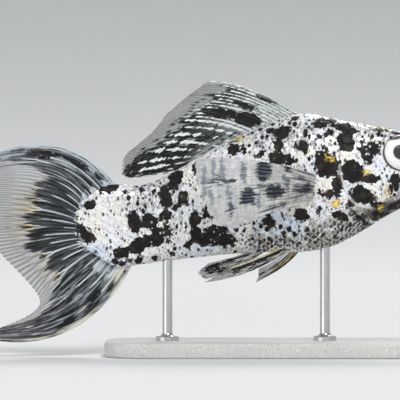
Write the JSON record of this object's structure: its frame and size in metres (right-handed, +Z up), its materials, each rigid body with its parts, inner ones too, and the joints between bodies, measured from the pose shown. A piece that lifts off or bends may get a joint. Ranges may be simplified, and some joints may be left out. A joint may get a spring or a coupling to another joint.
{
  "type": "sailfin molly model",
  "caption": "Still life-size model of a lyre-tailed, black-marbled sailfin molly, swimming with its sail half raised, held over a flat base by rods.",
  "frame": {"origin": "middle of the flat underside of the stand's base", "axes": "+X towards the fish's head, +Y towards the fish's left side, +Z up towards its back"},
  "size_m": [0.0989, 0.0307, 0.0549],
  "materials": {
    "skin": "scaled silver-white skin with irregular black blotches, fine black specks and a few yellow patches, glossy",
    "gill_cover": "smooth pearly plates with black blotches, glossy",
    "fin": "thin translucent grey membrane on fine rays, with black and white streaks",
    "eye": "wet clear cornea over a silver iris and a black pupil",
    "stand_base": "pale stone-grey, satin, with softened edges",
    "stand_rod": "brushed"
  },
  "bodies": {
    "root": {"head": "skin", "lower_jaw": "skin", "torso": "skin", "tail_stem": "skin", "gill_cover_left": "gill_cover", "gill_cover_right": "gill_cover", "eye_left": "eye", "eye_right": "eye", "dorsal_fin": "fin", "caudal_fin_upper": "fin", "caudal_fin_middle": "fin", "caudal_fin_lower": "fin", "anal_fin": "fin", "pectoral_fin_left": "fin", "pectoral_fin_right": "fin", "pelvic_fin_left": "fin", "pelvic_fin_right": "fin", "stand_base": "stand_base", "stand_rod_front": "stand_rod", "stand_rod_rear": "stand_rod"}
  },
  "joints": []
}
